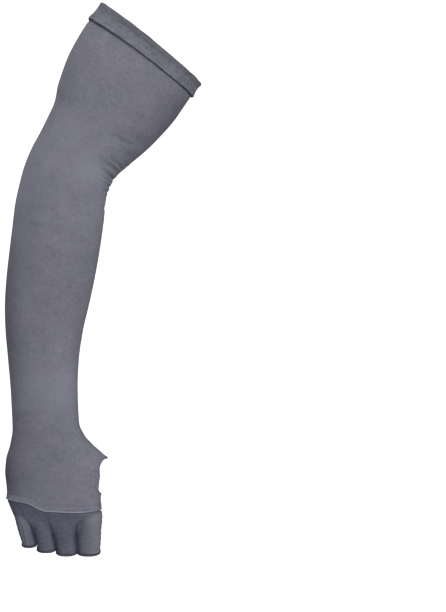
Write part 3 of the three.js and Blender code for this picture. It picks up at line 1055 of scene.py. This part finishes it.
@dataclass
class CuffBand:
    """The folded band round the top rim, drawn in between its two lips."""

    arm: ArmForm
    wall: float = 1.2
    height: float = 18.6
    lap: float = 7.7
    proud: float = 1.8
    waist: float = 0.8
    gap: float = 0.3
    count: int = 224
    girth: float = 342.0
    seam_up: float = 4.4
    seam_points: int = 400
    stitch: Stitch = Stitch(2.8, 2.0, 0.45)

    def profile(self) -> Array:
        """Gives the band's cross-section, as places down the arm and lifts."""
        high, step = self.height, self.height - self.lap
        return rounded([
            (-0.1, 0.4 * self.proud), (0.2, 0.85 * self.proud), (1.6, self.proud + 0.15),
            (4.4, self.waist + 0.25), (0.47 * high, self.waist), (high - 5.0, self.waist + 0.25),
            (high - 2.4, self.proud), (high - 0.8, self.proud + 0.35),
            (high + 0.25, 0.9 * self.proud), (high + 0.1, self.gap), (high - 1.2, self.gap - 0.1),
            (step, self.gap), (step - 0.3, -self.wall), (5.0, -self.wall), (1.2, -self.wall),
            (0.1, -0.75 * self.wall),
        ], 2)

    def build(self) -> Piece:
        """Builds the band with its slightly uneven lips and its row of stitches.

        Returns:
            The piece.
        """
        profile = self.profile()
        at, angle, lift = carry_round(profile, self.count)
        outside = lift > 0.5 * self.waist
        uneven = ripple(angle, (0.16, 7, 1.0), (0.13, 13, 2.1), (0.1, 31, 0.0))
        pucker = ripple(angle, (0.14, 46, 0.35 * at)) * bell(at, 0.72 * self.height, 3.0)
        lift += np.where(outside, uneven * 0.7 + pucker, 0)
        at = at + np.where(outside, ripple(angle, (0.25, 5, 0.6), (0.18, 17, 0.0)), 0)
        piece = make_band("cuff", self.arm.cloth(at, angle, lift), profile, angle, self.girth)
        # Painted shadow under the lower lip
        under = smoothstep(at, self.height - 0.4, self.height + 0.3) * (lift < self.proud)
        # Painted shade along the top rim
        top = 0.6 * bell(at, 0, 1.5)
        # Painted shade in the band's fold
        fold = 0.22 * bell(at, 5.2, 1.6) * outside
        # Painted shade on the inner side, and a painted highlight on the crest of the lower lip
        put_tones(piece, 0.95 * under + fold + top + 0.2 * ~outside,
                  0.12 * bell(at - self.height, -1.3, 0.8) * outside)
        dress(piece, CUFF_KNIT.material())
        self.sew(piece)
        return place_piece(piece, "cuff_band")

    def sew(self, piece: Piece) -> None:
        """Sews the band down with a row of stitches above its lower lip."""
        angle = angles(self.seam_points)
        at = self.arm.dropped(self.height - self.seam_up, angle)
        seam = self.arm.seam(at, angle, self.waist + 0.55)
        add_stitches(piece, *seam, self.stitch, THREAD.material())


@dataclass
class KnuckleHem:
    """The hem across the knuckles: it thickens to a rolled lower edge."""

    arm: ArmForm
    wall: float = 1.2
    height: float = 6.4
    lap: float = 2.5
    proud: float = 1.2
    gap: float = 0.3
    count: int = 200
    girth: float = 228.0
    flatness: float = 0.65
    seams: tuple[float, float] = (1.5, 3.2)
    seam_lift: float = 0.44
    seam_points: int = 360
    stitch: Stitch = Stitch(2.6, 1.9, 0.3)

    def profile(self) -> Array:
        """Gives the hem's cross-section, as distances below its top and lifts."""
        high = self.height
        return rounded([
            (-0.1, 0.08), (0.35, 0.42), (1.3, 0.5), (2.6, 0.42), (3.8, 0.55), (high - 1.9, 0.7),
            (high - 1.2, self.proud + 0.1), (high - 0.35, self.proud + 0.25),
            (high + 0.1, 0.7 * self.proud), (high + 0.1, -0.1), (high - 0.1, -self.wall),
            (self.lap + 0.4, -self.wall), (self.lap, self.gap - 0.05), (0.4, 0.1),
        ], 2)

    @staticmethod
    def flat(angle: Array) -> Array:
        """Says where the edge lies flat against the cloth below it: on the thumb side."""
        return smoothstep(np.cos(angle), 0.45, 0.95)

    def build(self) -> Piece:
        """Builds the hem with a painted highlight on its edge and its two rows of stitches.

        Returns:
            The piece.
        """
        profile = self.profile()
        top = self.arm.hem_at - self.height
        below, angle, lift = carry_round(profile, self.count)
        outside = lift > 0.35
        flat = self.flat(angle)
        lift = np.where(outside, lift * (1 - self.flatness * flat), lift)
        lift += np.where(outside, ripple(angle, (0.1, 9, 0.5), (0.07, 23, 0.0)), 0)
        points = self.arm.cloth(top + below, angle, lift)
        piece = make_band("hand_hem", points, profile, angle, self.girth)
        # Painted highlights: a pale lower edge and a pale line near the top, strongest in front,
        # faint on the little-finger side and where the edge lies flat
        front = smoothstep(-np.sin(angle), 0.1, 0.5)
        left = smoothstep(-np.cos(angle), -0.1, 0.6)
        low = smoothstep(below, self.height - 1.5, self.height - 0.8)
        low *= (0.1 + 0.75 * front) * (1 - 0.85 * left) * (1 - flat)
        high = bell(below, 2.2, 0.6) * (0.1 + 0.12 * front * (1 - flat))
        # Painted shadow under the roll, painted shade just above it and on the inner side
        under = smoothstep(below, self.height - 0.1, self.height + 0.1) * (lift < self.proud)
        above_roll = 0.16 * bell(below - self.height, -1.9, 0.5) * outside * (1 - flat)
        put_tones(piece, 0.8 * under + above_roll + 0.2 * ~outside, (low + high) * outside)
        dress(piece, HEM_KNIT.material())
        self.sew(piece, top)
        return place_piece(piece, "knuckle_hem")

    def sew(self, piece: Piece, top: float) -> None:
        """Sews the hem down with two rows of stitches."""
        thread, angle = HEM_THREAD.material(), angles(self.seam_points)
        lift = self.seam_lift * (1 - self.flatness * self.flat(angle))
        for below in self.seams:
            seam = self.arm.seam(self.arm.dropped(top + below, angle), angle, lift)
            add_stitches(piece, *seam, self.stitch, thread)


@dataclass
class ThumbHem:
    """The narrow rolled hem round the thumb opening."""

    arm: ArmForm
    tube: SleeveTube
    wall: float = 1.2
    width: float = 2.2
    proud: float = 0.6
    count: int = 128
    girth: float = 114.0
    passes: int = 30
    seam_points: int = 220
    stitch: Stitch = Stitch(2.4, 1.7, 0.32)

    def profile(self) -> Array:
        """Gives the hem's cross-section, as distances out from the opening's edge and lifts."""
        wide = self.width
        return rounded([
            (0.0, -0.8 * self.wall), (-0.12, -0.2), (0.12, 0.45), (0.6, self.proud + 0.1),
            (0.55 * wide, 0.8 * self.proud), (0.85 * wide, 0.6 * self.proud), (wide + 0.1, 0.1),
            (wide, -0.3), (0.7 * wide, -self.wall - 0.1), (0.8, -self.wall - 0.1),
        ], 2)

    def on_cloth(self, y: Array, z: Array) -> tuple[Array, Array]:
        """Finds where the thumb side of the cloth has a given y and z.

        Args:
            y: The places' y.
            z: The places' z.

        Returns:
            Places down the arm and angles round it.
        """
        at = self.tube.thumb_at - (z - self.arm.middle(self.tube.thumb_at)[2])
        angle = np.arcsin(np.clip((y - 4.0) / 20.0, -0.9, 0.9))
        at_step, angle_step = 0.05, 0.002
        for _ in range(self.passes):
            here = self.arm.smooth(at, angle)[..., 1:]
            by_at = (self.arm.smooth(at + at_step, angle)[..., 1:] - here) / at_step
            by_angle = (self.arm.smooth(at, angle + angle_step)[..., 1:] - here) / angle_step
            miss = np.stack([y, z], axis=-1) - here
            det = by_at[..., 0] * by_angle[..., 1] - by_at[..., 1] * by_angle[..., 0]
            det = np.where(np.abs(det) < 1e-6, 1e-6, det)
            step_at = (miss[..., 0] * by_angle[..., 1] - miss[..., 1] * by_angle[..., 0]) / det
            step_angle = (by_at[..., 0] * miss[..., 1] - by_at[..., 1] * miss[..., 0]) / det
            at = at + np.clip(step_at, -3, 3)
            angle = np.clip(angle + np.clip(step_angle, -0.15, 0.15), -1.35, 1.35)
        return at, angle

    def build(self) -> Piece:
        """Builds the hem round the edge of the opening.

        Returns:
            The piece.
        """
        profile = self.profile()
        out, round_it, lift = carry_round(profile, self.count)
        at, angle = self.on_cloth(*self.tube.slot_edge(round_it, out))
        points = self.arm.skin(at, angle, lift)
        piece = make_band("thumb_edge", points, profile, round_it, self.girth)
        # Painted shade along the edge of the opening
        put_tones(piece, 0.55 * bell(out, 0.1, 0.5), np.zeros(out.size))
        dress(piece, HEM_KNIT.material())
        self.sew(piece)
        return place_piece(piece, "thumb_hem")

    def sew(self, piece: Piece) -> None:
        """Sews the hem down with one row of stitches."""
        edge = self.tube.slot_edge(angles(self.seam_points), 0.65 * self.width)
        seam = self.arm.seam(*self.on_cloth(*edge), 0.4)
        add_stitches(piece, *seam, self.stitch, THREAD.material())


@dataclass
class FingerSection:
    """The cloth over the finger roots and the four stalls, tucked into the knuckle hem."""

    arm: ArmForm
    fingers: FingerForm
    wall: float = 1.2
    gap: float = 0.3
    tuck: float = 5.0
    hem_height: float = 2.4
    tucked_in: float = 1.1
    voxel: float = 0.75
    groove_depth: float = 1.3
    groove_half_width: float = 1.7
    # Half-width of the painted shade line in a groove
    groove_line: float = 1.05
    # How far the painted shadow of a groove reaches to its right and to its left
    groove_shadow: tuple[float, float] = (5.5, 2.6)
    count: int = 96
    stall_count: int = 64
    fan_from: float = 16.0
    fan: tuple[float, float, float] = (-0.72, -0.12, 1.5)
    girth: float = 400.0
    smoothing: int = 8
    root_power: float = 0.8
    root_steps: int = 5
    # Share of the way to the webs, left and right edges and depth as shares of the palm's
    root_rings: tuple[tuple[float, ...], ...] = (
        (0.44, -0.83, 1.025, 0.76), (0.75, -0.77, 1.01, 0.6), (1.0, -0.735, 0.99, 0.45),
    )

    def root(self, lift: float, above: float) -> Piece:
        """Makes a closed form of the cloth from inside the hem down to the webs.

        Args:
            lift: Distance outward from the cloth's outer side.
            above: How far its top goes up past the cloth's own.

        Returns:
            The object.
        """
        fingers, turn = self.fingers, angles(self.count)
        inset = -(self.wall + self.gap) + lift
        hem, half = self.arm.hem_at, fingers.palm_width / 2
        rings = [
            self.arm.cloth(hem - self.tuck - above, turn, inset),
            self.arm.cloth(hem + 1.2 * self.gap, turn, inset),
            self.arm.cloth(hem + 6 * self.gap, turn, lift - 0.5 * self.gap),
        ]
        for share, left, right, depth in self.root_rings:
            centre = self.arm.middle(fingers.knuckle_at)[0] + half * (left + right) / 2
            down = share * fingers.web_length + (lift if share == 1.0 else 0)
            size = (half * (right - left) / 2 + lift, depth * fingers.palm_depth / 2 + lift)
            rings.append(fingers.oval(down, centre, size, turn, self.root_power))
        fine = self.eased(np.array(rings), self.root_steps)
        return make_object("finger_root", fine, ring_faces(len(fine), self.count, False))

    @staticmethod
    def eased(rings: Array, steps: int) -> Array:
        """Adds rings between rings along smooth curves.

        Args:
            rings: The rings.
            steps: How many spans each one becomes.

        Returns:
            The rings with those between.
        """
        padded = np.concatenate([2 * rings[:1] - rings[1:2], rings, 2 * rings[-1:] - rings[-2:-1]])
        out = []
        for i in range(1, len(rings)):
            a, b, c, d = padded[i - 1:i + 3]
            for t in np.arange(steps) / steps:
                out.append(ease(t, b, 0.35 * (c - a), c, 0.35 * (d - b)))
        return np.array(out + [rings[-1]])

    def stall(self, finger: Finger, lift: float, past: float) -> Piece:
        """Makes a closed form of one stall.

        Args:
            finger: The stall.
            lift: Distance outward from the cloth's outer side.
            past: How far it goes past the cloth's end.

        Returns:
            The object.
        """
        end = finger.length - self.hem_height + self.tucked_in + past
        down = np.linspace(-0.2 * self.fingers.web_length, end, 30)
        at, angle = np.meshgrid(down, angles(self.stall_count), indexing="ij")
        points = self.fingers.ring(finger, at, angle, lift)
        return make_object("stall", points, ring_faces(len(down), self.stall_count, False))

    def solid(self, lift: float, above: float, past: float) -> Piece:
        """Makes one closed skin round the root and the stalls.

        Args:
            lift: Distance outward from the cloth's outer side.
            above: How far it goes up past the cloth's top.
            past: How far it goes past the stalls' ends.

        Returns:
            The object.
        """
        parts = [self.root(lift, above)] + [self.stall(f, lift, past) for f in FINGERS]
        work = bmesh.new()
        for part in parts:
            work.from_mesh(part.data)
            bpy.data.objects.remove(part)
        mesh = bpy.data.meshes.new("finger_skin")
        work.to_mesh(mesh)
        work.free()
        piece = bpy.data.objects.new("finger_skin", mesh)
        bpy.context.scene.collection.objects.link(piece)
        remesh = piece.modifiers.new("remesh", "REMESH")
        remesh.mode, remesh.voxel_size, remesh.use_smooth_shade = "VOXEL", self.voxel * MM, True
        smooth = piece.modifiers.new("smooth", "SMOOTH")
        smooth.factor, smooth.iterations = 0.5, self.smoothing
        apply_modifiers(piece)
        return piece

    def build(self) -> Piece:
        """Builds the cloth as one shell, with its grooves, soft ridges and open ends.

        Returns:
            The piece.
        """
        piece = self.solid(0.0, 0.0, 0.0)
        piece.name = "finger_cloth"
        inner = self.solid(-self.wall, 3.0, 4.0)
        for skin in (piece, inner):
            self.drape(skin)
        cut_away(piece, inner)
        points = points_of(piece)
        side = np.abs(self.normals(piece)[:, 0]) > 0.7
        across = np.where(side, points[:, 1], points[:, 0])
        share = (across - across.min() + 1) / self.girth
        lay_cloth(piece, share, -points[:, 2], self.girth)
        self.colour_in(piece, points)
        smooth_shading(piece, 60)
        dress(piece, SHADED_FINGER_KNIT.material())
        return place_piece(piece, "finger_section")

    @staticmethod
    def normals(piece: Piece) -> Array:
        """Reads a piece's normals, one for each point."""
        found = np.empty(3 * len(piece.data.vertices))
        piece.data.vertices.foreach_get("normal", found)
        return found.reshape(-1, 3)

    def down_of(self, points: Array) -> Array:
        """Estimates each point's distance below the knuckle line."""
        down = np.linspace(-10, 50, 241)
        y, z, turn = self.fingers.bend(down)
        line = np.stack([y, z], axis=1)
        away = np.linalg.norm(points[:, None, 1:] - line[None], axis=2)
        return down[np.argmin(away, axis=1)]

    def groove_distance(self, points: Array, down: Array) -> Array:
        """Gives each point's distance across to the nearest groove, to the right of it if over 0.

        Above the webs the grooves fan out towards the hem, as the cloth is pulled.

        Args:
            points: The points.
            down: Their distances below the knuckle line.

        Returns:
            The distances.
        """
        best = np.full(len(points), 99.0)
        above = np.clip(self.fan_from - down, 0, None)
        above = above**2 / (above + 5)
        for left, right, pull in zip(FINGERS, FINGERS[1:], self.fan):
            x0, w0, _ = self.fingers.stall(left, down)
            x1, w1, _ = self.fingers.stall(right, down)
            away = points[:, 0] - ((x0 + w0) + (x1 - w1)) / 2 - pull * above
            best = np.where(np.abs(away) < np.abs(best), away, best)
        return best

    def below_hem(self, points: Array) -> tuple[Array, Array]:
        """Gives each point's distance below the knuckle hem, and its angle round the hand."""
        middle = self.arm.middle(self.arm.hem_at)
        angle = np.arctan2((points[:, 1] - middle[1]) * 3, points[:, 0] - middle[0])
        edge = self.arm.middle(self.arm.hem_at + self.arm.hem_drop(angle))[:, 2]
        return edge - points[:, 2], angle

    def drape(self, piece: Piece) -> None:
        """Moves the cloth a little: grooves between stalls, soft ridges and puckers."""
        points, normals = points_of(piece), self.normals(piece)
        down = self.down_of(points)
        below, angle = self.below_hem(points)
        x, w, _ = self.fingers.stall(FINGERS[0], down)
        across = (points[:, 0] - x) / w
        inside = smoothstep(1.15 - np.abs(across), 0.0, 0.35) * smoothstep(down, 8, 16)
        ridges = 0.24 * np.sin(across * 12.0 + 0.1 * down) * inside
        groove = bell(self.groove_distance(points, down), 0, self.groove_half_width)
        groove *= self.groove_depth * smoothstep(below, 1, 8)
        groove *= 0.25 + 0.75 * smoothstep(down, 7, 19)
        pucker = 0.12 * np.sin(1.1 * down + 0.3 * points[:, 0]) * smoothstep(down, 0, 8)
        thumb_side = smoothstep(np.cos(angle), 0.6, 0.95)
        full = 0.8 * thumb_side * smoothstep(below, 0.4, 1.6) * (1 - smoothstep(below, 4, 9))
        put_points(piece, points + normals * (ridges - groove + pucker + full)[:, None])

    def colour_in(self, piece: Piece, points: Array) -> None:
        """Paints shade into the grooves and under the hem, and paints light on the thumb and
        little-finger sides.
        """
        down = self.down_of(points)
        below, _ = self.below_hem(points)
        away = self.groove_distance(points, down)
        reach = smoothstep(below, 0, 4) * (0.2 + 0.8 * smoothstep(down, 7, 20))
        # A painted shade line in each groove
        narrow = bell(away, 0, self.groove_line) * reach
        # Painted shade spreads to the right of each groove, where the cloth turns away from the
        # light for longer
        wide = bell(away, 0, np.where(away > 0, *self.groove_shadow)) * reach
        wide *= 1 - 0.45 * smoothstep(down, 22, 36)
        # Painted shadow under the hem, reaching further on the little-finger side
        far = 4.0 + 6.0 * (1 - smoothstep(points[:, 0], -112.0, -92.0))
        under = np.exp(-np.clip(below + 1, 0, None) / far)
        # Painted light on the thumb side and on the little-finger side
        thumb_side = smoothstep(points[:, 0], -76.0, -54.0)
        little_side = 1 - smoothstep(points[:, 0], -123.0, -114.0)
        pale = 0.95 * thumb_side + 0.5 * little_side * smoothstep(down, 4, 14)
        put_tones(piece, 0.56 * narrow + 0.15 * wide + 0.38 * under,
                  pale * (1 - np.clip(narrow + wide + under, 0, 1)))


@dataclass
class StallHem:
    """The thin rolled hem at the open end of one stall."""

    fingers: FingerForm
    finger: Finger
    wall: float = 1.2
    height: float = 2.4
    count: int = 72
    girth: float = 57.0

    def profile(self) -> Array:
        """Gives the hem's cross-section, as distances below its top and lifts."""
        high = self.height
        return rounded([
            (-0.5, 0.02), (0.1, 0.26), (1.0, 0.28), (high - 1.0, 0.45), (high - 0.4, 0.6),
            (high + 0.15, 0.25), (high + 0.2, -0.5), (high - 0.1, -self.wall - 0.1),
            (0.4, -self.wall - 0.1), (-0.3, -0.9 * self.wall),
        ], 2)

    def build(self) -> Piece:
        """Builds the hem.

        Returns:
            The piece.
        """
        profile = self.profile()
        below, angle, lift = carry_round(profile, self.count)
        lift += ripple(angle, (0.06, 8, len(self.finger.name)))
        top = self.finger.length - self.height
        points = self.fingers.ring(self.finger, top + below, angle, lift)
        piece = make_band(self.finger.name + "_edge", points, profile, angle, self.girth)
        # Painted shade where the hem meets the stall
        put_tones(piece, 0.5 * bell(below, 0, 0.5), np.zeros(below.size))
        dress(piece, ROLLED_KNIT.material())
        return place_piece(piece, self.finger.name + "_hem")


# The studio

@dataclass(frozen=True)
class SoftLight:
    """A square soft light: its place, its aim, its side in metres, its power and its colour."""

    name: str
    place: tuple[float, float, float]
    target: tuple[float, float, float]
    side: float
    power: float
    colour: tuple[float, float, float]

    def build(self) -> None:
        """Puts the light in the scene."""
        data = bpy.data.lights.new(self.name, "AREA")
        data.shape, data.size = "SQUARE", self.side
        data.energy, data.color = self.power, self.colour
        lamp = bpy.data.objects.new(self.name, data)
        lamp.location = self.place
        aim = Vector(self.target) - Vector(self.place)
        lamp.rotation_mode = "QUATERNION"
        lamp.rotation_quaternion = aim.to_track_quat("-Z", "Y")
        bpy.context.scene.collection.objects.link(lamp)


@dataclass
class Studio:
    """A pale sweep of paper, soft lights, and the camera level with the middle of the sleeve."""

    floor_level: float = -1.4
    half_width: float = 7.0
    front: float = -6.0
    bend_from: float = 3.4
    bend_radius: float = 1.6
    top: float = 6.0
    camera_place: tuple[float, float, float] = (0.0715, -1.6, -0.2625)
    lens: float = 94.1176
    ambient: float = 0.18
    ambient_colour: tuple[float, float, float] = (0.85, 0.97, 1.0)
    lights: tuple[SoftLight, ...] = (
        SoftLight("key", (1.47, -1.81, 0.2), (-0.05, 0, -0.25), 1.2, 35.5, (1.0, 0.98, 0.96)),
        SoftLight("front", (-0.28, -2.59, -0.2), (-0.05, 0, -0.25), 1.4, 24.5, (1.0, 0.98, 0.97)),
        SoftLight("above", (-0.7, -0.13, 1.9), (-0.05, 0, -0.2), 1.2, 34.0, (1.0, 0.99, 0.98)),
        SoftLight("right", (2.0, -0.36, 0.95), (-0.05, 0, -0.25), 1.2, 3.5, (1.0, 1.0, 1.0)),
        SoftLight("behind", (-0.06, 2.7, -0.1), (-0.06, 0, -0.25), 0.7, 34.0, (1.0, 0.99, 0.98)),
    )

    def sweep(self) -> None:
        """Lays the floor and curves it up behind the sleeve."""
        arc = [math.radians(a) for a in range(0, 91, 6)]
        line = [(self.front, self.floor_level)]
        line += [(self.bend_from + self.bend_radius * math.sin(a),
                  self.floor_level + self.bend_radius * (1 - math.cos(a))) for a in arc]
        line.append((self.bend_from + self.bend_radius, self.top))
        columns = np.linspace(-self.half_width, self.half_width, 9)
        points = np.array([[(x, y, z) for x in columns] for y, z in line]) / MM
        wide = len(columns)
        faces = [(i * wide + j, i * wide + j + 1, (i + 1) * wide + j + 1, (i + 1) * wide + j)
                 for i in range(len(line) - 1) for j in range(wide - 1)]
        paper = make_object("studio_floor", points, faces)
        paper.visible_diffuse = paper.visible_glossy = paper.visible_shadow = False
        paper.data.materials.append(self.paper())

    @staticmethod
    def paper() -> Material:
        """Builds the finish of the white paper, evenly lit."""
        made, nodes = new_material("white_paper")
        grain = nodes.noise(nodes.add("TexCoord").outputs["Object"], 30.0)
        nodes.surface({
            "Base Color": nodes.scaled((1.0, 1.0, 1.0), nodes.plus(0.94, grain, 0.01)),
            "Roughness": 1.0, "Emission Color": (1.0, 1.0, 1.0, 1.0), "Emission Strength": 0.95,
        })
        return made

    def surroundings(self) -> None:
        """Gives the room an even soft light and a white look behind the sweep."""
        world = bpy.data.worlds.new("studio_room")
        bpy.context.scene.world = world
        world.use_nodes = True
        nodes = Nodes(world.node_tree)
        tint = (*self.ambient_colour, 1.0)
        soft = nodes.add("Background", {"Color": tint, "Strength": self.ambient})
        white = nodes.add("Background", {"Color": (1.0, 1.0, 1.0, 1.0), "Strength": 1.0})
        seen = nodes.add("LightPath").outputs["Is Camera Ray"]
        both = nodes.add("MixShader", {0: seen, 1: soft.outputs[0], 2: white.outputs[0]})
        nodes.add("OutputWorld", {"Surface": both.outputs[0]})

    def camera(self) -> None:
        """Puts the camera level with the middle of the sleeve, looking straight at it."""
        data = bpy.data.cameras.new("camera")
        data.sensor_fit, data.sensor_width, data.lens = "AUTO", 36.0, self.lens
        data.clip_start, data.clip_end = 0.05, 60.0
        eye = bpy.data.objects.new("camera", data)
        eye.location = self.camera_place
        eye.rotation_euler = (math.radians(90), 0, 0)
        bpy.context.scene.collection.objects.link(eye)
        bpy.context.scene.camera = eye

    def build(self) -> None:
        """Sets the whole studio up."""
        self.camera()
        self.sweep()
        self.surroundings()
        for light in self.lights:
            light.build()
        bpy.context.scene.view_settings.view_transform = "Standard"
        log.info("studio: %d lights", len(self.lights))


@dataclass
class ArmSleeve:
    """The whole sleeve, piece by piece."""

    arm: ArmForm = field(default_factory=ArmForm)
    tube_flat: tuple[float, float] = (0.30, 0.47)
    tube_area: float = 0.105
    finger_flat: tuple[float, float] = (0.2, 0.05)
    finger_area: float = 0.0095

    def build(self) -> None:
        """Builds every piece."""
        fingers = FingerForm(self.arm)
        maker = SleeveTube(self.arm)
        cuff = CuffBand(self.arm).build()
        tube = maker.build()
        hem = KnuckleHem(self.arm).build()
        thumb = ThumbHem(self.arm, maker).build()
        section = FingerSection(self.arm, fingers).build()
        ends = [StallHem(fingers, finger).build() for finger in FINGERS]


def main() -> None:
    """Builds the studio and the sleeve."""
    logging.basicConfig(level=logging.INFO, format="%(name)s: %(message)s")
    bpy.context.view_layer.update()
    Studio().build()
    ArmSleeve().build()


if __name__ == "__main__":
    main()
